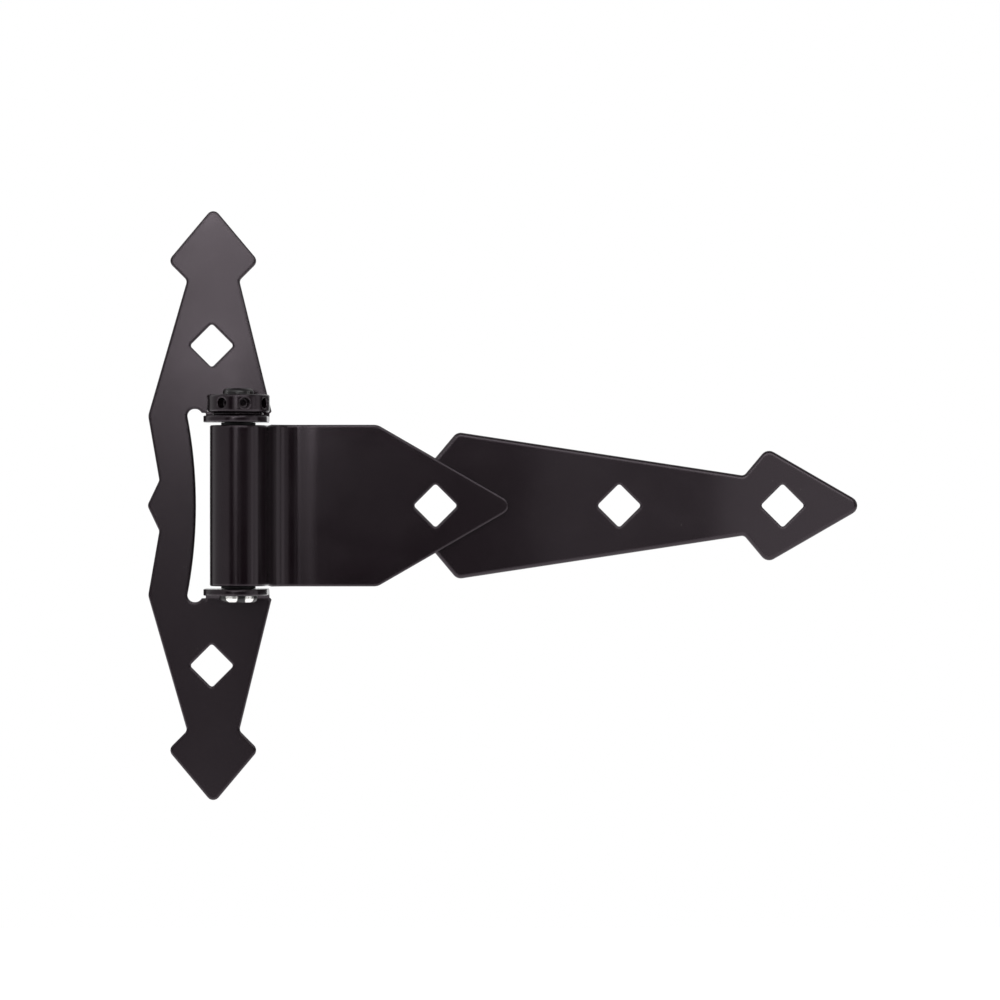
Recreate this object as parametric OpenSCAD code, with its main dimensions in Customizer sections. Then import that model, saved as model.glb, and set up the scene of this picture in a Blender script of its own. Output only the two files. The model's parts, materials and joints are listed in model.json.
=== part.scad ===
// Self-closing T hinge for a gate: a post leaf with two bent lugs, a strap rolled
// into a barrel, a long arrow strap behind it, and a spring wound by a collar on the pin.
// X runs along the strap, Z along the pin and -Y towards the front. Y = 0 is the plane
// of the post and the gate, and the origin lies midway between the two post bolts.

/* [Sheet] */
// Thickness of the sheet steel
plate_t = 2.2; // [1.8:0.1:3]
// Radius of the stamped outer corners
corner_r = 2.4; // [0.5:0.1:4]
// Radius inside the necks of the spears
neck_r = 1.8; // [0.5:0.1:3]
// Radius of the strap and arrow points
point_r = 3.1; // [1:0.1:5]

/* [Bolt holes] */
// Side of the square bolt holes
bolt_hole = 10.6; // [8:0.1:12]
// Radius in the corners of the bolt holes
bolt_hole_r = 1; // [0.2:0.1:2]
// Distance between the two post bolts
post_hole_pitch = 108.7; // [100:0.1:120]
// From the pin to the gate bolt through both straps
gate_hole_1 = 66.2; // [64:0.1:72]
// From the pin to the gate bolt in the middle
gate_hole_2 = 128.6; // [100:0.1:150]
// From the pin to the gate bolt in the arrow head
gate_hole_3 = 184.1; // [180:0.1:190]

/* [Post leaf] */
// Height of the leaf from point to point
leaf_h = 200; // [185:1:230]
// Width of the spears
spear_w = 30.8; // [26:0.1:36]
// Full angle of the spear points
spear_angle = 80; // [65:1:95]
// Width of the necks below the spears
neck_w = 17.7; // [16:0.1:22]
// How far the spears stand right of the bolt holes
spear_shift = 0.5; // [-1:0.1:2]
// From the bolt holes to the leaf's widest corners
belly_x = 21.6; // [20:0.1:26]
// How far the widest corners lie inside the bends
belly_drop = 0.9; // [0:0.1:6]
// From the bolt holes to the notches in the back edge
notch_x = 17.8; // [16:0.1:20]
// Height of the notches above the middle
notch_z = 8.6; // [6:0.1:12]
// From the bolt holes to the point between the notches
point_x = 21.9; // [19:0.1:26]
// Width of the web beside the barrel
web_w = 12.4; // [10:0.1:13]
// How far the web's inner edge bulges towards the barrel
web_bulge = 2.9; // [1:0.1:3.5]
// Radius of the half-round relief beside each lug
relief_r = 2.4; // [1.5:0.1:3]
// How far the reliefs reach past the bends
relief_rise = 1.35; // [0.2:0.05:1.5]

/* [Lugs] */
// Width of the lugs
lug_w = 21.6; // [20:0.1:24]
// How far the lugs' middle lies nearer the post bolts than the pin
lug_shift = 1; // [0:0.1:1.5]
// Inside radius of the bends
bend_r = 1.2; // [0.8:0.1:3]
// How far the leaf's edge stands past the lugs
lug_inset = 0.8; // [0.2:0.1:2]
// Width of the shoulder between a lug and its relief
lug_shoulder = 1.2; // [0.2:0.1:2]
// From the post bolts to the pin
pin_x = 9.8; // [9:0.1:11]
// From the post's face to the pin
pin_offset = 13.5; // [12.8:0.1:16]

/* [Straps] */
// Height of the barrel
barrel_h = 54.1; // [48:0.1:62]
// Outer diameter of the barrel
barrel_d = 19.2; // [18.6:0.1:21]
// Height of the flat of the knuckle strap
strap_h = 54.8; // [54.2:0.1:56.5]
// Inside radius of the sweep from barrel to flat
sweep_r = 9.9; // [8:0.1:12]
// How far the sweep bends past the flat, in degrees
sweep_over = 6; // [1:1:9]
// Middle radius of the gentle bend back into the flat
settle_r = 57; // [40:1:80]
// From the pin to the start of the strap's taper
taper_x = 46.6; // [42:0.1:52]
// Half angle of the strap's and the arrow's points
point_angle = 30; // [27:1:34]
// Open gap where the rolled sheet meets itself
seam_gap = 0.6; // [0.2:0.1:2]
// Width of the arrow strap's wide end
blade_w = 50; // [44:0.5:56]
// From the pin to the arrow strap's wide corners
blade_x = 73.5; // [72:0.5:80]
// Slope of the arrow strap's tail and barbs
barb_angle = 50; // [44:1:56]
// Width of the neck behind the arrow head
arrow_neck_w = 20.4; // [18:0.1:26]
// Width of the arrow head
arrow_w = 39; // [34:0.5:46]
// From the pin to the tip of the arrow
arrow_reach = 209.5; // [205:0.5:225]

/* [Pin and collar] */
// Diameter of the pin
pin_d = 8; // [7:0.1:9]
// Diameter of the pin's domed head
head_d = 10.4; // [9.5:0.1:15]
// Thickness of the pin's head
head_h = 2.2; // [1.5:0.1:3]
// Diameter of the peened end
peen_d = 12.8; // [10:0.1:14]
// Thickness of the peened end
peen_h = 2.3; // [1.8:0.1:4]
// Diameter of the collar
collar_d = 21.1; // [19.5:0.1:23]
// Height of the collar
collar_h = 5.9; // [5:0.1:8]
// Diameter of the collar's rod holes
rod_hole_d = 3.5; // [2.5:0.1:4]
// Depth of the rod holes
rod_hole_depth = 3.8; // [2.5:0.1:4.2]
// Number of rod holes
rod_holes = 8; // [6:1:8]
// Turn of the collar away from the front
collar_turn = 16; // [0:1:44]
// Diameter of the washer
washer_d = 17; // [14:0.5:20]
// Thickness of the washer
washer_t = 1.1; // [0.8:0.1:2]
// Edge chamfer of the collar and washer
edge_c = 0.4; // [0.1:0.1:0.6]

/* [Bushings and spring] */
// Diameter of the bushings' necks
neck_d = 11.6; // [10.5:0.1:13]
// Gap between barrel and lugs that the necks fill
lug_gap = 1; // [0.8:0.1:2.5]
// Length of the bushings inside the barrel
bushing_l = 8; // [7:0.5:10]
// Diameter of the spring wire
wire_d = 2.2; // [1.8:0.1:2.3]
// Number of turns of the spring
turns = 13; // [8:1:13]
// Radius of the bends in the spring's tails
tail_r = 1.5; // [1.3:0.1:1.8]
// Length of the tail in the spring anchor
tail_l = 4; // [3:0.5:5]

/* [Clearances] */
// Running clearance round the pin
pin_clear = 0.06; // [0.02:0.01:0.1]
// Clearance of the bushings in the barrel and the pin's square in the collar
seat_clear = 0.1; // [0.05:0.01:0.2]
// Gap between faces that turn on each other
thrust_gap = 0.1; // [0.05:0.05:0.3]
// Clearance round the spring
spring_clear = 0.3; // [0.2:0.05:0.4]

/* [Hidden] */
$fn = 96;
coat = [0.13, 0.12, 0.13];
steel = [0.72, 0.72, 0.74];
brass = [0.62, 0.52, 0.32];

// Angle by which the strap's bent stretches lap over what they meet, to be one body with it
lap = 0.06;

// Heights, from the middle of the barrel up
lug_z = barrel_h / 2 + lug_gap;
lug_top = lug_z + plate_t;
bend_z = lug_top + bend_r;
washer_z = lug_top + thrust_gap;
collar_z = washer_z + washer_t;
head_z = collar_z + collar_h;
peen_z = -lug_top - thrust_gap;

// Places along X and Y
pin_y = -pin_offset;
lug_x = pin_x - lug_shift;
lug_left = lug_x - lug_w / 2;
relief_x = lug_left - lug_shoulder;
leaf_edge = lug_x + lug_w / 2 + lug_inset;
bend_y = -plate_t - bend_r;
web_mid = web_w - notch_x;
web_end = web_mid - web_bulge;
relief_z = bend_z + relief_rise - relief_r;

// Knuckle strap: circles of the sheet's middle line, which touch where barrel and sweep meet
roll_mid = (barrel_d - plate_t) / 2;
bore_r = barrel_d / 2 - plate_t;
sweep_mid = sweep_r + plate_t / 2;
sweep_y = settle_r - 1.5 * plate_t - (sweep_mid + settle_r) * cos(sweep_over);
sweep_drop = sweep_y - pin_y;
sweep_dx = sqrt(pow(roll_mid + sweep_mid, 2) - pow(sweep_drop, 2));
sweep_x = pin_x + sweep_dx;
flat_x = sweep_x + (sweep_mid + settle_r) * sin(sweep_over);
join_angle = atan2(sweep_drop, sweep_dx);
// The roll stops short of the back of the sweep by the seam gap
seam_touch = acos((pow(barrel_d / 2, 2) + pow(roll_mid + sweep_mid, 2) - pow(sweep_r + plate_t, 2))
                  / (barrel_d * (roll_mid + sweep_mid)));
seam_angle = join_angle + seam_touch + 360 * seam_gap / (PI * barrel_d);

// Spring: space between the bushings
coil_r = bore_r - spring_clear - wire_d / 2;
coil_top = barrel_h / 2 - bushing_l - spring_clear - wire_d / 2;
coil_pitch = 2 * coil_top / turns;
tail_turn = asin(tail_r / (coil_r - tail_r));
tail_foot = coil_top + tail_r + tail_l;

// Unit vector of v
function unit(v) = v / norm(v);

// Arc of radius r that rounds the corner p between its neighbours a and b, or p itself
function corner(a, p, b, r, steps = 6) =
    r == 0 ? [p] :
    let (u = unit(a - p), v = unit(b - p), half = acos(u * v) / 2,
         c = p + unit(u + v) * r / sin(half),
         s = p + u * r / tan(half) - c, e = p + v * r / tan(half) - c,
         from = atan2(s.y, s.x), sweep = atan2(s.x * e.y - s.y * e.x, s * e))
    [for (i = [0:steps]) c + r * [cos(from + sweep * i / steps), sin(from + sweep * i / steps)]];

// Closed outline whose corners are [x, z, radius]
function rounded(path) =
    let (n = len(path), at = [for (p = path) [p.x, p.y]])
    [for (i = [0:n - 1]) each corner(at[(i + n - 1) % n], at[i], at[(i + 1) % n], path[i].z)];

// The corners of the lower half, in the order that closes the outline
function below(path) = [for (i = [len(path) - 1:-1:0]) [path[i].x, -path[i].y, path[i].z]];

// How far a sharp point with half angle a reaches past its rounding of radius r
function past_round(r, a) = r * (1 / sin(a) - 1);

// Sheet in the XZ plane, its back at the distance back in front of the post's face
module sheet(back = 0)
    translate([0, -back, 0]) rotate([90, 0, 0]) linear_extrude(plate_t) children();

// Cuts square bolt holes, on their corners, at the places [x, z]
module bolt_holes(places) {
    reach = bolt_hole / sqrt(2);
    for (p = places)
        translate(p)
            polygon(rounded([for (a = [0:90:270]) [reach * cos(a), reach * sin(a), bolt_hole_r]]));
}

// Pie of angle a to b that takes in everything out to radius r
module pie(r, a, b)
    polygon(concat([[0, 0]], [for (i = [0:24]) r * [cos(a + (b - a) * i / 24), sin(a + (b - a) * i / 24)]]));

// Bent strip of sheet: the part of a ring of middle radius r from angle a to b
module bent_strip(r, a, b)
    intersection() {
        difference() {
            circle(r + plate_t / 2);
            circle(r - plate_t / 2);
        }
        pie(2 * r, a, b);
    }

// Turned piece with chamfered rims, standing on z = 0
module turned(d, h, c = edge_c)
    rotate_extrude()
        polygon([[0, 0], [d / 2 - c, 0], [d / 2, c], [d / 2, h - c], [d / 2 - c, h], [0, h]]);

// Button with a straight rim and a domed face, standing on z = 0
module button(d, h, steps = 6) {
    rim = h / 3;
    dome = h - rim;
    rotate_extrude()
        polygon(concat([[0, 0], [d / 2, 0]],
                       [for (i = [0:steps - 1]) let (a = 90 * i / steps)
                           [d / 2 - dome * (1 - cos(a)), rim + dome * sin(a)]],
                       [[0, h]]));
}

module at_pin(z = 0)
    translate([pin_x, pin_y, z]) children();

// Relief past the bend line, which turns round beside the lug's shoulder and down into the web
function relief(steps = 8) =
    let (from = asin(1 - relief_rise / relief_r), up = 90 - from)
    concat([for (i = [0:steps]) let (a = from + up * i / steps)
               [relief_x - relief_r * (1 - cos(a)), relief_z + relief_r * sin(a), 0]],
           [for (i = [0:steps]) let (a = 90 + 90 * i / steps)
               [web_end + relief_r * (1 + cos(a)), relief_z + relief_r * sin(a), 0]]);

// The web's inner edge, which bulges as one long arc between the two reliefs
function web_edge(steps = 20) =
    let (r = (pow(relief_z, 2) + pow(web_bulge, 2)) / (2 * web_bulge))
    [for (i = [1:steps - 1]) let (z = relief_z * (1 - 2 * i / steps))
        [web_mid - r + sqrt(r * r - z * z), z, 0]];

module leaf_outline() {
    tip_z = leaf_h / 2 + past_round(corner_r, spear_angle / 2);
    shoulder_z = tip_z - spear_w / 2 / tan(spear_angle / 2);
    neck_z = shoulder_z - (spear_w - neck_w) / 2;
    upper = concat([
        [-notch_x, notch_z, neck_r],
        [-belly_x, bend_z - belly_drop, 2 * corner_r],
        [spear_shift - neck_w / 2, neck_z, neck_r],
        [spear_shift - spear_w / 2, shoulder_z, corner_r],
        [spear_shift, tip_z, corner_r],
        [spear_shift + spear_w / 2, shoulder_z, corner_r],
        [spear_shift + neck_w / 2, neck_z, neck_r],
        [leaf_edge, bend_z, 0.75 * lug_inset]
    ], relief());
    polygon(rounded(concat([[-point_x, 0, corner_r]], upper, web_edge(), below(upper))));
}

// Path of a lug's sheet seen from the side: its root in the leaf, the bend and the flat
module lug_profile() {
    translate([-plate_t, bend_z]) square([plate_t, plate_t]);
    translate([bend_y, bend_z]) bent_strip(bend_r + plate_t / 2, -90, 0);
    translate([pin_y - lug_w, lug_z]) square([bend_y - pin_y + lug_w, plate_t]);
}

// Lug bent forward from the leaf, with a round end about the pin
module lug()
    intersection() {
        translate([lug_left, 0, 0]) rotate([90, 0, 90]) linear_extrude(lug_w) lug_profile();
        linear_extrude(leaf_h)
            difference() {
                union() {
                    translate([lug_left - 1, pin_y]) square([lug_w + 2, pin_offset + 1]);
                    translate([lug_x, pin_y]) circle(d = lug_w);
                }
                translate([pin_x, pin_y]) circle(d = pin_d + 2 * pin_clear);
            }
    }

module jamb_leaf() color(coat) {
    sheet()
        difference() {
            leaf_outline();
            bolt_holes([for (side = [-1, 1]) [0, side * post_hole_pitch / 2]]);
        }
    lug();
    mirror([0, 0, 1]) lug();
}

// Path of the sheet seen from above: rolled barrel, sweep, gentle bend back and flat
module knuckle_profile(end_x) {
    translate([pin_x, pin_y]) bent_strip(roll_mid, seam_angle - 360, join_angle + lap);
    translate([sweep_x, sweep_y]) bent_strip(sweep_mid, 90 - sweep_over, 180 + join_angle);
    translate([flat_x, settle_r - 1.5 * plate_t])
        bent_strip(settle_r, 270 - sweep_over - lap, 270 + lap);
    translate([flat_x, -2 * plate_t]) square([end_x - flat_x, plate_t]);
}

module knuckle_strap() color(coat) {
    tip = pin_x + taper_x + strap_h / 2 / tan(point_angle);
    step_x = pin_x + barrel_d / 2 + plate_t / 2;
    upper = [
        [pin_x - barrel_d, barrel_h / 2, 0],
        [step_x - plate_t / 4, barrel_h / 2, 0],
        [step_x, strap_h / 2, 0],
        [pin_x + taper_x, strap_h / 2, 2 * corner_r]
    ];
    intersection() {
        translate([0, 0, -strap_h / 2]) linear_extrude(strap_h) knuckle_profile(tip);
        rotate([90, 0, 0])
            linear_extrude(pin_offset + barrel_d)
                difference() {
                    polygon(rounded(concat(upper, [[tip, 0, point_r]], below(upper))));
                    bolt_holes([[pin_x + gate_hole_1, 0]]);
                }
    }
}

module arrow_strap() color(coat) {
    tip = pin_x + arrow_reach + past_round(point_r, point_angle);
    shoulder = tip - arrow_w / 2 / tan(point_angle);
    neck = shoulder - (arrow_w - arrow_neck_w) / 2 / tan(barb_angle);
    wide = pin_x + blade_x;
    upper = [
        [wide, blade_w / 2, point_r],
        [neck, arrow_neck_w / 2, neck_r],
        [shoulder, arrow_w / 2, point_r]
    ];
    tail = [wide - blade_w / 2 / tan(barb_angle), 0, point_r];
    sheet()
        difference() {
            polygon(rounded(concat([tail], upper, [[tip, 0, point_r]], below(upper))));
            bolt_holes([for (x = [gate_hole_1, gate_hole_2, gate_hole_3]) [pin_x + x, 0]]);
        }
}

// Domed head, square for the collar, shank with a slot for the spring, peened end
module hinge_pin() color(steel)
    at_pin() {
        translate([0, 0, head_z]) button(head_d, head_h);
        translate([-pin_d / 2, -pin_d / 2, collar_z]) cube([pin_d, pin_d, collar_h + head_h / 2]);
        difference() {
            translate([0, 0, peen_z - peen_h / 2])
                cylinder(d = pin_d, h = head_z + head_h / 2 - peen_z + peen_h / 2);
            slot_w = wire_d + 2 * spring_clear;
            rotate([0, 0, tail_turn])
                translate([-pin_d, -slot_w / 2, coil_top - slot_w / 2]) cube([2 * pin_d, slot_w, slot_w]);
        }
        translate([0, 0, peen_z]) mirror([0, 0, 1]) button(peen_d, peen_h);
    }

module tension_collar() color(coat)
    at_pin(collar_z)
        difference() {
            turned(collar_d, collar_h);
            square_w = pin_d + 2 * seat_clear;
            translate([-square_w / 2, -square_w / 2, -1]) cube([square_w, square_w, collar_h + 2]);
            for (i = [0:rod_holes - 1])
                rotate([0, 0, collar_turn - 90 + i * 360 / rod_holes])
                    translate([collar_d / 2 - rod_hole_depth, 0, collar_h / 2])
                        rotate([0, 90, 0]) cylinder(d = rod_hole_d, h = rod_hole_depth + 1);
        }

module thrust_washer() color(coat)
    at_pin(washer_z)
        difference() {
            turned(washer_d, washer_t);
            translate([0, 0, -1]) cylinder(d = pin_d + 2 * seat_clear, h = washer_t + 2);
        }

// Bushing seated in the barrel's end, with a neck that reaches the lug
module bushing()
    at_pin()
        difference() {
            union() {
                translate([0, 0, barrel_h / 2 - bushing_l]) cylinder(r = bore_r - seat_clear, h = bushing_l);
                cylinder(d = neck_d, h = lug_z - thrust_gap);
            }
            cylinder(d = pin_d + 2 * pin_clear, h = lug_z);
            translate([0, 0, -1]) cylinder(d = barrel_d, h = barrel_h / 2 - bushing_l + 1);
        }

module upper_bushing() color(coat) bushing();

// The lower bushing also holds the spring's lower tail, in a slot in its rim
module spring_anchor() color(coat)
    difference() {
        mirror([0, 0, 1]) bushing();
        at_pin(-tail_foot - spring_clear)
            translate([0, -tail_r - wire_d / 2 - spring_clear, 0])
                translate([coil_r - wire_d / 2 - spring_clear, 0, 0])
                    cube([bore_r, wire_d + 2 * spring_clear, tail_foot]);
    }

// Middle line of the spring wire: the upper tail crosses the pin, the lower one points down
function tail_in() =
    let (out = [cos(tail_turn), -sin(tail_turn)], c = [coil_r - tail_r, 0])
    concat([[-out.x * pin_d / 4, -out.y * pin_d / 4, coil_top]],
           [for (a = [-90 - tail_turn:15:-1]) [c.x + tail_r * cos(a), c.y + tail_r * sin(a), coil_top]]);
function coil() =
    [for (i = [0:18 * turns]) let (a = 20 * i)
        [coil_r * cos(a), coil_r * sin(a), coil_top - coil_pitch * a / 360]];
function tail_down() =
    concat([for (a = [30:30:90]) [coil_r, tail_r * sin(a), -coil_top - tail_r * (1 - cos(a))]],
           [[coil_r, tail_r, -tail_foot]]);

// Frame carried along a path without twist: the side vector that follows each new direction
function carry(side, t) = unit(side - (side * t) * t);

// Round wire swept along a path, its rings turned with the carried side vector
module wire(path, d, sides = 8) {
    n = len(path);
    along = [for (i = [0:n - 1]) unit(path[min(i + 1, n - 1)] - path[max(i - 1, 0)])];
    side = [for (i = 0, s = carry([0, 0, 1], along[0]); i < n;
                 i = i + 1, s = carry(s, along[min(i, n - 1)])) s];
    rings = [for (i = [0:n - 1]) for (k = [0:sides - 1])
                let (a = 360 * k / sides)
                path[i] + d / 2 * (cos(a) * side[i] + sin(a) * cross(along[i], side[i]))];
    walls = [for (i = [0:n - 2]) for (k = [0:sides - 1])
                let (a = i * sides + k, b = i * sides + (k + 1) % sides)
                [b, a, a + sides, b + sides]];
    ends = [[for (k = [0:sides - 1]) k], [for (k = [sides - 1:-1:0]) (n - 1) * sides + k]];
    polyhedron(rings, concat(walls, ends), convexity = 10);
}

module torsion_spring() color(brass)
    at_pin()
        mirror([0, 1, 0]) wire(concat(tail_in(), coil(), tail_down()), wire_d);

jamb_leaf();
knuckle_strap();
arrow_strap();
hinge_pin();
tension_collar();
thrust_washer();
upper_bushing();
spring_anchor();
torsion_spring();
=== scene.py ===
"""Looks of a self-closing T hinge for a gate: black powder-coated sheet, a steel pin with two spots
of bare steel painted on its peened end as highlights, black plastic bushings and an oiled spring, in a
white studio."""
import json
import math

import bmesh
import bpy
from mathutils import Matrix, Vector


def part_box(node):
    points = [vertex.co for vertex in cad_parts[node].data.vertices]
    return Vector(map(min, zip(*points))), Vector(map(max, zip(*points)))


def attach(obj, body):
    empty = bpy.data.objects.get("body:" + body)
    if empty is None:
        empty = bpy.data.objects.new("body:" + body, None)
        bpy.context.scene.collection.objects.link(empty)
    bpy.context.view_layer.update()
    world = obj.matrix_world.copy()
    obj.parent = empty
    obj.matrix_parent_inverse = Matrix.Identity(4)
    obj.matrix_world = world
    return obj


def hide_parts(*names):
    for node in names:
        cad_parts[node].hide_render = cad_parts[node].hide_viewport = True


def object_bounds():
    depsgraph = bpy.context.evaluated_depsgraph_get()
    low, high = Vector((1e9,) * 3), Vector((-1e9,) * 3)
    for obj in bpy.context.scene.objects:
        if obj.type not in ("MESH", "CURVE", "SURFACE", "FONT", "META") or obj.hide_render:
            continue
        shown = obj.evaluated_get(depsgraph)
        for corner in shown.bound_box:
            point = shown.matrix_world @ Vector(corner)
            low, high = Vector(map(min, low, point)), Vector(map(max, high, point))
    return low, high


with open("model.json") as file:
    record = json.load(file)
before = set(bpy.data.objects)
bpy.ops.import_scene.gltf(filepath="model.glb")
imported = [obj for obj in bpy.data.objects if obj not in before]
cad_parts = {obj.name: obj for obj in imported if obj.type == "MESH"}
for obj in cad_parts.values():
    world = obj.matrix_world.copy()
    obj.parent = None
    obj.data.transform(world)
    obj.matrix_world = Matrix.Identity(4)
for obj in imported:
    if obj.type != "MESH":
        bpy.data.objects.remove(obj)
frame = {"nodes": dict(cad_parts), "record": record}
cad_low, cad_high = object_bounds()

MM = 0.001
WHITE = (1, 1, 1, 1)
COAT_BLACK = (0.0032, 0.0010, 0.0022, 1)
COAT_IOR = 1.5
scene = bpy.context.scene


# ---------------------------------------------------------------- node helpers

def feed(tree, sockets, values):
    """Gives input sockets their values in turn, as constants or as links to other sockets."""
    for socket, value in zip(sockets, values):
        if isinstance(value, bpy.types.NodeSocket):
            tree.links.new(value, socket)
        else:
            socket.default_value = value


def settle(node, values):
    """Sets a node's input sockets by name, and gives the node back."""
    feed(node.id_data, [node.inputs[name] for name in values], values.values())
    return node


def add(tree, kind, settings=None, **values):
    """New node with its settings and its input sockets, whose names have _ for a space here."""
    node = tree.nodes.new(kind)
    for name, value in (settings or {}).items():
        setattr(node, name, value)
    return settle(node, {name.replace("_", " "): value for name, value in values.items()})


def maths(tree, operation, first, second=0.0):
    """Output of a Math node on two sockets or numbers."""
    node = add(tree, "ShaderNodeMath", {"operation": operation})
    feed(tree, node.inputs, (first, second))
    return node.outputs[0]


def spread(tree, value, low, high, to_low, to_high):
    """Carries a value from one range to another, smoothly and without overshoot."""
    node = add(tree, "ShaderNodeMapRange", {"interpolation_type": "SMOOTHSTEP"}, Value=value)
    settle(node, {"From Min": low, "From Max": high, "To Min": to_low, "To Max": to_high})
    return node.outputs["Result"]


def mixed(tree, mask, first, second):
    """Colour that runs from first to second by the mask."""
    node = add(tree, "ShaderNodeMix", {"data_type": "RGBA"})
    tree.links.new(mask, node.inputs["Factor"])
    colours_in, colour_out = node.inputs[6:8], node.outputs[2]
    feed(tree, colours_in, (first, second))
    return colour_out


def new_material(name):
    """Material with a Principled shader: the material, its node tree and the shader."""
    material = bpy.data.materials.new(name)
    material.use_nodes = True
    tree = material.node_tree
    return material, tree, tree.nodes["Principled BSDF"]


def shiny_rays(tree, path):
    """1 for rays that a glossy or clear surface has turned, else 0."""
    return maths(tree, "MAXIMUM", path.outputs["Is Glossy Ray"], path.outputs["Is Transmission Ray"])


def new_group(name, inputs, outputs):
    """Shader node group with named sockets: the group, its input node and its output node."""
    group = bpy.data.node_groups.new(name, "ShaderNodeTree")
    for label, kind, value in inputs:
        socket = group.interface.new_socket(label, in_out="INPUT", socket_type=kind)
        socket.default_value = value
    for label, kind in outputs:
        group.interface.new_socket(label, in_out="OUTPUT", socket_type=kind)
    return group, group.nodes.new("NodeGroupInput"), group.nodes.new("NodeGroupOutput")


def place_group(tree, group, **values):
    """The shared effect placed in a material with its own values."""
    return add(tree, "ShaderNodeGroup", {"node_tree": group}, **values)


# ---------------------------------------------------------------- camera and studio

def aim(thing, target):
    """Turns a camera or lamp at the origin of its own -Z towards the target."""
    thing.rotation_euler = (Vector(target) - thing.location).to_track_quat("-Z", "Y").to_euler()


def set_camera():
    """A long lens square to the post's face, a little above the strap's middle line."""
    distance = 1400 * MM
    field = 340 * MM
    looks_at = Vector((97.9 * MM, 0, 1.9 * MM))
    data = bpy.data.cameras.new("camera")
    data.sensor_width = 36
    data.lens = data.sensor_width * distance / field
    camera = bpy.data.objects.new("camera", data)
    camera.location = looks_at - Vector((0, distance, 0))
    scene.collection.objects.link(camera)
    aim(camera, looks_at)
    scene.camera = camera


def soft_panel(name, centre, target, width, height, glow):
    """Rectangular lamp whose face has the radiance glow. Sizes and places are in millimetres."""
    data = bpy.data.lights.new(name, "AREA")
    data.shape = "RECTANGLE"
    data.size, data.size_y = width * MM, height * MM
    data.energy = glow * math.pi * data.size * data.size_y
    lamp = bpy.data.objects.new(name, data)
    lamp.location = Vector(centre) * MM
    lamp.visible_camera = False
    scene.collection.objects.link(lamp)
    aim(lamp, Vector(target) * MM)


def square_panel(name, x, y, z, width, height, glow):
    """Soft panel that faces the hinge squarely from the front."""
    soft_panel(name, (x, y, z), (x, 0, z), width, height, glow)


def light_studio():
    """Panels that draw the long highlights down the barrel and the leaf's fall from light to dark.

    The wall and the right panel make the barrel's broad bands. The front panels lie where the leaf,
    the barrel's middle and the strap's bend mirror the lens, and glow more towards the top. Two
    panels close to the arrow strap light its neck and, more, its head. The brow and the top panel
    draw thin lines on the upper rolled edges. The spot stands a little closer than the high panel
    that it overlaps, so that both are mirrored."""
    front = -600
    near = -130
    soft_panel("left_wall", (-342, -135, 100), (56, -100, 100), 774, 800, 0.52)
    soft_panel("right_panel", (600, -118, 100), (10, -14, 100), 212, 800, 0.78)
    square_panel("front_low", -44, front, -137, 64, 204, 0.62)
    square_panel("front_middle", -65, front, 5, 24, 80, 1.15)
    square_panel("front_high", -44, front, 88, 64, 84, 2.75)
    square_panel("front_top", -44, front, 170, 64, 80, 7.6)
    square_panel("front_left", -120, front, 60, 70, 160, 0.82)
    square_panel("front_fill", 95, front, 0, 60, 160, 0.3)
    soft_panel("brow", (260, front, 320), (260, 0, 0), 520, 380, 2.6)
    square_panel("front_spot", -28, front + 10, 64, 34, 42, 4.2)
    square_panel("barrel_line", -42, front, 2, 9, 76, 2.0)
    square_panel("near_neck", 142, near - 3, 0, 60, 110, 0.42)
    square_panel("near_head", 230, near, 0, 106, 110, 1.0)
    soft_panel("top_panel", (-190, front, 430), (-40, 0, 60), 560, 380, 1.5)


def light_world():
    """A white backdrop to the camera and to mirrored rays, with greys round it that only shiny
    surfaces mirror, and an even fill on what isn't shiny.

    A ray's direction has a length of 1. Its Y says how straight the ray runs away from the camera,
    and its Z how steeply it climbs or falls."""
    backdrop_above = 0.93
    greys_above = 0.2
    fill_strength = 0.6
    dimmest = 0.01
    world = bpy.data.worlds.new("studio")
    scene.world = world
    world.use_nodes = True
    tree = world.node_tree
    tree.nodes.clear()
    path = tree.nodes.new("ShaderNodeLightPath")
    place = tree.nodes.new("ShaderNodeTexCoord")
    ray = add(tree, "ShaderNodeSeparateXYZ", Vector=place.outputs["Generated"])
    away, climb = ray.outputs["Y"], ray.outputs["Z"]
    sky = spread(tree, climb, 0.06, 0.6, 0.12, 0.8)
    greys = maths(tree, "MULTIPLY", maths(tree, "GREATER_THAN", away, greys_above), sky)
    behind = maths(tree, "MAXIMUM", greys, maths(tree, "GREATER_THAN", away, backdrop_above))
    steep = spread(tree, maths(tree, "ABSOLUTE", climb), 0.15, 0.3, 0.0, 0.22)
    mirrored = maths(tree, "MULTIPLY", shiny_rays(tree, path), maths(tree, "MAXIMUM", behind, steep))
    white = maths(tree, "MAXIMUM", mirrored, path.outputs["Is Camera Ray"])
    fill = maths(tree, "MULTIPLY", path.outputs["Is Diffuse Ray"], fill_strength)
    dim = add(tree, "ShaderNodeBackground", Color=(1, 0.97, 0.99, 1),
              Strength=maths(tree, "ADD", dimmest, fill))
    bright = add(tree, "ShaderNodeBackground", Color=WHITE, Strength=1.0)
    mix = add(tree, "ShaderNodeMixShader", Fac=white)
    tree.links.new(dim.outputs[0], mix.inputs[1])
    tree.links.new(bright.outputs[0], mix.inputs[2])
    out = tree.nodes.new("ShaderNodeOutputWorld")
    tree.links.new(mix.outputs[0], out.inputs["Surface"])


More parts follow.
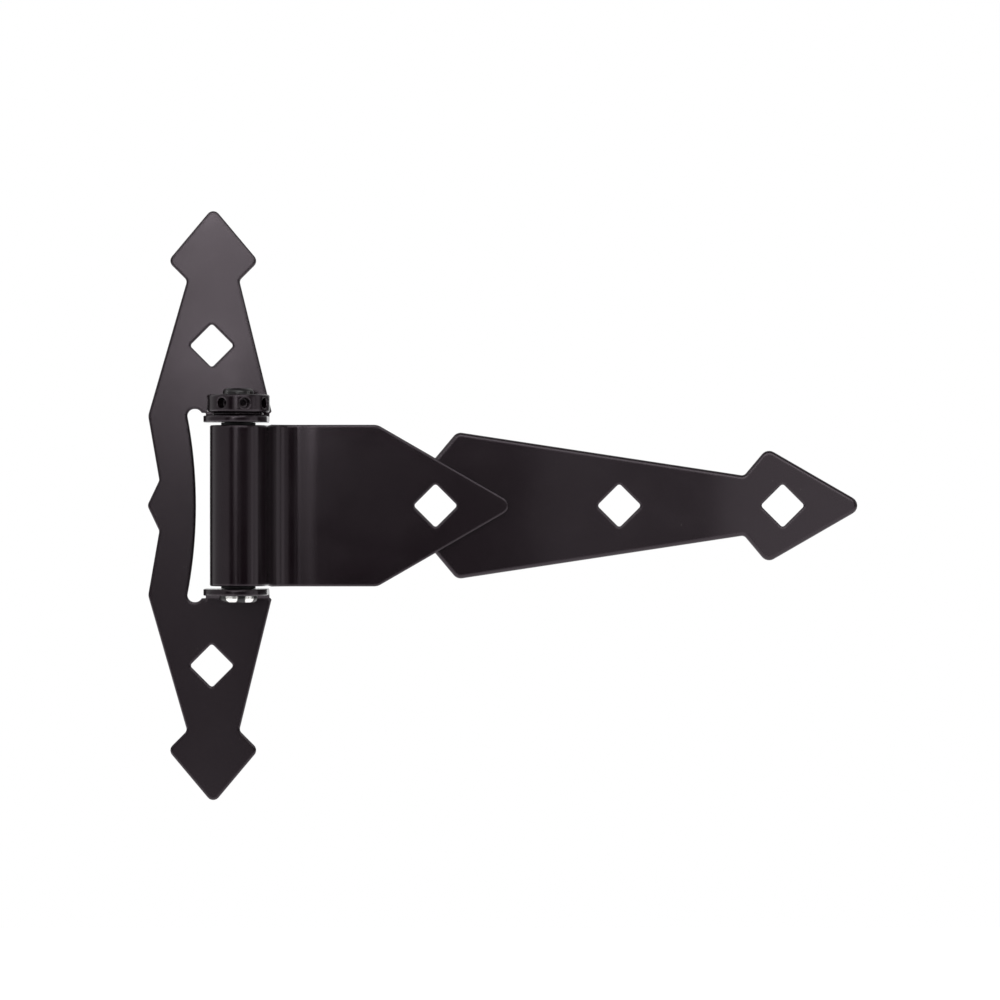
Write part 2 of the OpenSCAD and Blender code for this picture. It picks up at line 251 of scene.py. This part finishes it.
def lay_floor():
    """White floor below the hinge, which hangs as it would on its post.

    It glows to the camera and to mirrored rays, which brings it up to the backdrop's white, and
    keeps the hinge's shadow."""
    drop = 200 * MM
    half_width = 1500 * MM
    lift = 0.62
    bm = bmesh.new()
    bmesh.ops.create_grid(bm, x_segments=1, y_segments=1, size=half_width)
    bmesh.ops.translate(bm, verts=bm.verts, vec=(0, 0, cad_low.z - drop))
    floor = new_piece("studio_floor", bm)
    material, tree, shader = new_material("studio_floor")
    path = tree.nodes.new("ShaderNodeLightPath")
    seen = maths(tree, "MAXIMUM", path.outputs["Is Camera Ray"], shiny_rays(tree, path))
    settle(shader, {"Base Color": (0.82, 0.82, 0.82, 1), "Roughness": 0.9, "Emission Color": WHITE,
                    "Emission Strength": maths(tree, "MULTIPLY", seen, lift)})
    floor.data.materials.append(material)


# ---------------------------------------------------------------- shared effects

def coat_skin_group():
    """Powder coat's skin: a fine orange peel with slow waves under it, as a height."""
    group, given, result = new_group(
        "coat_skin",
        [("Peel Size", "NodeSocketFloat", 900.0), ("Wave Share", "NodeSocketFloat", 0.5)],
        [("Height", "NodeSocketFloat"), ("Patches", "NodeSocketFloat")])
    place = group.nodes.new("ShaderNodeTexCoord").outputs["Object"]
    peel = add(group, "ShaderNodeTexNoise", Vector=place, Scale=given.outputs["Peel Size"],
               Detail=2.0, Roughness=0.45)
    waves = add(group, "ShaderNodeTexNoise", Vector=place, Scale=130.0, Detail=1.0)
    patches = add(group, "ShaderNodeTexNoise", Vector=place, Scale=26.0, Detail=3.0, Roughness=0.6)
    slow = maths(group, "MULTIPLY", waves.outputs["Fac"], given.outputs["Wave Share"])
    height = maths(group, "ADD", peel.outputs["Fac"], slow)
    group.links.new(height, result.inputs["Height"])
    group.links.new(spread(group, patches.outputs["Fac"], 0.35, 0.68, 0.0, 1.0),
                    result.inputs["Patches"])
    return group


def edge_wear_group():
    """Mask of edges and corners, broken up so that the wear isn't an even line."""
    group, given, result = new_group(
        "edge_wear",
        [("Width", "NodeSocketFloat", 0.0006), ("Breakup", "NodeSocketFloat", 300.0)],
        [("Mask", "NodeSocketFloat")])
    place = group.nodes.new("ShaderNodeTexCoord").outputs["Object"]
    rounded = add(group, "ShaderNodeBevel", {"samples": 4}, Radius=given.outputs["Width"])
    plain = group.nodes.new("ShaderNodeNewGeometry")
    facing = add(group, "ShaderNodeVectorMath", {"operation": "DOT_PRODUCT"})
    feed(group, facing.inputs, (rounded.outputs[0], plain.outputs["Normal"]))
    noise = add(group, "ShaderNodeTexNoise", Vector=place, Scale=given.outputs["Breakup"], Detail=4.0)
    edge = spread(group, facing.outputs["Value"], 0.995, 0.9, 0.0, 1.0)
    gaps = spread(group, noise.outputs["Fac"], 0.42, 0.62, 0.0, 1.0)
    group.links.new(maths(group, "MULTIPLY", edge, gaps), result.inputs["Mask"])
    return group


def dust_group():
    """Sparse fine specks and a faint film, heavier on faces that look up."""
    group, given, result = new_group(
        "fine_dust",
        [("Speck Density", "NodeSocketFloat", 0.12), ("Film", "NodeSocketFloat", 0.2)],
        [("Mask", "NodeSocketFloat")])
    place = group.nodes.new("ShaderNodeTexCoord").outputs["Object"]
    specks = add(group, "ShaderNodeTexVoronoi", Vector=place, Scale=420.0)
    near = spread(group, specks.outputs["Distance"], 0.16, 0.06, 0.0, 1.0)
    chosen = add(group, "ShaderNodeSeparateColor", Color=specks.outputs["Color"])
    kept = maths(group, "LESS_THAN", chosen.outputs[0], given.outputs["Speck Density"])
    clouds = add(group, "ShaderNodeTexNoise", Vector=place, Scale=90.0, Detail=5.0)
    film = maths(group, "MULTIPLY", spread(group, clouds.outputs["Fac"], 0.4, 0.75, 0.0, 1.0),
                 given.outputs["Film"])
    surface = group.nodes.new("ShaderNodeNewGeometry")
    facing = add(group, "ShaderNodeSeparateXYZ", Vector=surface.outputs["Normal"])
    settled = spread(group, facing.outputs["Z"], 0.2, 0.9, 0.35, 1.0)
    both = maths(group, "MAXIMUM", maths(group, "MULTIPLY", near, kept), film)
    group.links.new(maths(group, "MULTIPLY", both, settled), result.inputs["Mask"])
    return group


# ---------------------------------------------------------------- materials

def black_coat(skin, wear, dust):
    """Satin black powder coat on stamped sheet."""
    material, tree, shader = new_material("black_powder_coat")
    surface = place_group(tree, skin, Peel_Size=1100.0, Wave_Share=4.0)
    edges = place_group(tree, wear, Width=0.5 * MM, Breakup=260.0)
    specks = place_group(tree, dust, Speck_Density=0.05, Film=0.08)
    dusty = specks.outputs["Mask"]
    rubbed = mixed(tree, edges.outputs["Mask"], COAT_BLACK, (0.011, 0.009, 0.010, 1))
    colour = mixed(tree, maths(tree, "MULTIPLY", dusty, 0.35), rubbed, (0.10, 0.095, 0.09, 1))
    patchy = spread(tree, surface.outputs["Patches"], 0.0, 1.0, 0.18, 0.21)
    rough = maths(tree, "ADD", patchy, maths(tree, "MULTIPLY", dusty, 0.2))
    shoulder = add(tree, "ShaderNodeBevel", {"samples": 6}, Radius=1.0 * MM)
    bump = add(tree, "ShaderNodeBump", Strength=0.1, Distance=0.02 * MM,
               Height=surface.outputs["Height"], Normal=shoulder.outputs[0])
    settle(shader, {"Base Color": colour, "Roughness": rough, "Normal": bump.outputs[0],
                    "Specular Tint": (1.0, 0.87, 0.96, 1), "IOR": COAT_IOR})
    return material


def pin_steel(skin, wear):
    """Pin: coated with the hinge, but with bare steel painted in two spots of its peened end, just where
    it catches the light, as painted highlights.

    Each spot has its place across, forward and up from the pin's foot, and its reach, in mm."""
    # Painted highlights: bright bare steel is laid only in these two spots, where the peened end catches
    # the light.
    glint_spots = ((-1.9, -6.0, 1.9, 2.7), (4.3, -5.0, 1.2, 2.4))
    soft_rim = 0.35
    material, tree, shader = new_material("pin_steel")
    surface = place_group(tree, skin, Peel_Size=1400.0, Wave_Share=0.4)
    edges = place_group(tree, wear, Width=0.4 * MM, Breakup=500.0)
    place = tree.nodes.new("ShaderNodeTexCoord").outputs["Object"]
    low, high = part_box("hinge_pin")
    bare = maths(tree, "MULTIPLY", edges.outputs["Mask"], 0.15)
    foot = Vector(((low.x + high.x) / 2, (low.y + high.y) / 2, low.z))
    for across, forward, up, reach in glint_spots:
        away = add(tree, "ShaderNodeVectorMath", {"operation": "DISTANCE"})
        feed(tree, away.inputs, (place, foot + Vector((across, forward, up)) * MM))
        ragged = maths(tree, "MULTIPLY", surface.outputs["Height"], 0.5 * MM)
        glint_spot = spread(tree, maths(tree, "ADD", away.outputs["Value"], ragged),
                      reach * MM, (reach - soft_rim) * MM, 0.0, 1.0)
        bare = maths(tree, "MAXIMUM", bare, glint_spot)
    dents = add(tree, "ShaderNodeTexVoronoi", {"feature": "SMOOTH_F1"}, Vector=place, Scale=900.0)
    # The steel is kept near white so that the two spots read as bright painted highlights.
    steel = mixed(tree, surface.outputs["Patches"], (0.80, 0.79, 0.77, 1), (0.95, 0.94, 0.93, 1))
    colour = mixed(tree, bare, COAT_BLACK, steel)
    rough = spread(tree, bare, 0.0, 1.0, 0.3, 0.24)
    relief = mixed(tree, bare, surface.outputs["Height"], dents.outputs["Distance"])
    bump = add(tree, "ShaderNodeBump", Strength=0.25, Distance=0.05 * MM, Height=relief)
    settle(shader, {"Base Color": colour, "Roughness": rough, "Metallic": bare,
                    "Normal": bump.outputs[0], "IOR": COAT_IOR})
    return material


def bushing_plastic(skin, dust):
    """Moulded black plastic, duller than the coat."""
    material, tree, shader = new_material("bushing_plastic")
    surface = place_group(tree, skin, Peel_Size=2600.0, Wave_Share=0.3)
    specks = place_group(tree, dust, Speck_Density=0.1, Film=0.25)
    colour = mixed(tree, maths(tree, "MULTIPLY", specks.outputs["Mask"], 0.4),
                   (0.010, 0.010, 0.011, 1), (0.09, 0.085, 0.08, 1))
    rough = spread(tree, surface.outputs["Patches"], 0.0, 1.0, 0.48, 0.58)
    bump = add(tree, "ShaderNodeBump", Strength=0.2, Distance=0.02 * MM,
               Height=surface.outputs["Height"])
    settle(shader, {"Base Color": colour, "Roughness": rough, "Normal": bump.outputs[0]})
    return material


def spring_wire(skin, dust):
    """Oil-darkened spring wire with drawing marks along each turn."""
    material, tree, shader = new_material("spring_wire")
    surface = place_group(tree, skin, Peel_Size=1800.0, Wave_Share=0.6)
    specks = place_group(tree, dust, Speck_Density=0.15, Film=0.3)
    place = tree.nodes.new("ShaderNodeTexCoord").outputs["Object"]
    marks = add(tree, "ShaderNodeTexWave", {"bands_direction": "Z"}, Vector=place, Scale=2600.0,
                Distortion=1.5)
    steel = mixed(tree, surface.outputs["Patches"], (0.20, 0.18, 0.16, 1), (0.36, 0.34, 0.32, 1))
    colour = mixed(tree, maths(tree, "MULTIPLY", specks.outputs["Mask"], 0.5), steel,
                   (0.06, 0.05, 0.04, 1))
    rough = spread(tree, marks.outputs["Fac"], 0.0, 1.0, 0.26, 0.42)
    bump = add(tree, "ShaderNodeBump", Strength=0.2, Distance=0.03 * MM, Height=marks.outputs["Fac"])
    settle(shader, {"Base Color": colour, "Roughness": rough, "Metallic": 1.0,
                    "Normal": bump.outputs[0]})
    return material


# ---------------------------------------------------------------- pieces

def new_piece(name, bm):
    """Object at the origin from a bmesh."""
    mesh = bpy.data.meshes.new(name)
    bm.to_mesh(mesh)
    bm.free()
    piece = bpy.data.objects.new(name, mesh)
    scene.collection.objects.link(piece)
    return piece


def whole_copy(node):
    """A CAD node's shape as one closed bmesh, with its flat faces in one piece each."""
    same_place = 0.002 * MM
    still_flat = math.radians(0.5)
    bm = bmesh.new()
    bm.from_mesh(frame["nodes"][node].data)
    bmesh.ops.remove_doubles(bm, verts=bm.verts, dist=same_place)
    bmesh.ops.dissolve_limit(bm, angle_limit=still_flat, verts=bm.verts, edges=bm.edges,
                             use_dissolve_boundaries=False, delimit={"NORMAL"})
    return bm


def roll_edges(bm, width, radius_of):
    """Marks each sharp edge with its share of the full width, or keeps it crisp where it has none."""
    marks = bm.edges.layers.float.new("bevel_weight_edge")
    sharp = math.radians(28)
    for edge in bm.edges:
        if len(edge.link_faces) == 2 and edge.calc_face_angle() > sharp:
            edge[marks] = radius_of(edge) / width
            edge.smooth = edge[marks] > 0


def dress(node, body, material, width, radius_of, segments=4):
    """A dressed copy of a CAD node with rolled edges, which stands for it on the same body.

    The width and radius_of's radii are in mm."""
    bm = whole_copy(node)
    for face in bm.faces:
        face.smooth = True
    roll_edges(bm, width, radius_of)
    piece = new_piece(node + "_coated", bm)
    bevel = piece.modifiers.new("rolled_edges", "BEVEL")
    bevel.limit_method = "WEIGHT"
    bevel.width = width * MM
    bevel.segments = segments
    bevel.loop_slide = False
    bevel.use_clamp_overlap = False
    flats = piece.modifiers.new("true_flats", "WEIGHTED_NORMAL")
    flats.weight = 50
    flats.keep_sharp = True
    piece.data.materials.append(material)
    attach(piece, body)
    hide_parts(node)


def edge_middle(edge):
    """Middle of a mesh edge."""
    return (edge.verts[0].co + edge.verts[1].co) / 2


def bolt_hole_places():
    """Middles of the square bolt holes, from the record's openings."""
    boxes = [opening["box_m"] for opening in frame["record"]["physics"]["openings"]
             if opening["name"].endswith("bolt_hole")]
    middles = [(Vector(low) + Vector(high)) / 2 for low, high in boxes]
    return [(middle.x, middle.z) for middle in middles]


def sheet_edges(front_roll, other_roll):
    """Edge radii of stamped sheet: the punch rolls the front's edges most, and those of the bolt
    holes by 0.6 mm at most. Every other edge has the other, smaller radius."""
    hole_roll = min(0.6, front_roll)
    hole_reach = 9 * MM
    faces_front = -0.99
    faces_aside = 0.01
    holes = bolt_hole_places()

    def radius_of(edge):
        middle = edge_middle(edge)
        fronts = [face for face in edge.link_faces if face.normal.y < faces_front]
        walls = [face for face in edge.link_faces if abs(face.normal.y) < faces_aside]
        by_hole = any(math.hypot(middle.x - x, middle.z - z) < hole_reach for x, z in holes)
        if fronts and walls:
            return hole_roll if by_hole else front_roll
        return other_roll
    return radius_of


def outer_edges(roll, reach):
    """Edge radius of round pieces: only edges further than reach, in mm, from the pin's axis have it."""
    low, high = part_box("tension_collar")
    axis = (low + high) / 2

    def radius_of(edge):
        middle = edge_middle(edge)
        return roll if math.hypot(middle.x - axis.x, middle.y - axis.y) > reach * MM else 0.0
    return radius_of


def end_edges(node, roll, depth):
    """Edge radius of a pin: only edges within the depth, in mm, of its two ends have it."""
    low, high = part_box(node)

    def radius_of(edge):
        height = edge_middle(edge).z
        return roll if height > high.z - depth * MM or height < low.z + depth * MM else 0.0
    return radius_of


def build_hinge():
    """Every visible piece of the hinge, dressed and riding on its body. Rolls are in mm."""
    leaf_roll = 0.55
    arrow_roll = 1.2
    knuckle_roll = 0.5
    back_roll = 0.3
    small_roll = 0.15
    bore_reach = 7.0
    skin = coat_skin_group()
    wear = edge_wear_group()
    dust = dust_group()
    coat = black_coat(skin, wear, dust)
    plastic = bushing_plastic(skin, dust)
    steel = pin_steel(skin, wear)
    wire = spring_wire(skin, dust)
    dress("jamb_leaf", "post_leaf", coat, leaf_roll, sheet_edges(leaf_roll, back_roll))
    dress("arrow_strap", "gate_strap", coat, arrow_roll,
          sheet_edges(arrow_roll, back_roll), segments=6)
    dress("knuckle_strap", "gate_strap", coat, knuckle_roll,
          sheet_edges(knuckle_roll, knuckle_roll))
    turned = outer_edges(small_roll, bore_reach)
    moulded = outer_edges(small_roll, 0.0)
    pin_ends = end_edges("hinge_pin", small_roll, 0.9)
    for node, body, slot_name, material, radius_of in (
            ("tension_collar", "adjuster", "black_coat", coat, turned),
            ("thrust_washer", "adjuster", "black_coat", coat, turned),
            ("hinge_pin", "adjuster", "pin_steel", steel, pin_ends),
            ("upper_bushing", "gate_strap", "bushing", plastic, moulded),
            ("spring_anchor", "gate_strap", "bushing", plastic, moulded)):
        dress(node, body, material, small_roll, radius_of, segments=3)
    spring = frame["nodes"]["torsion_spring"]
    spring.data.materials.clear()
    spring.data.materials.append(wire)


scene.view_settings.view_transform = "Standard"
set_camera()
light_studio()
light_world()
lay_floor()
build_hinge()
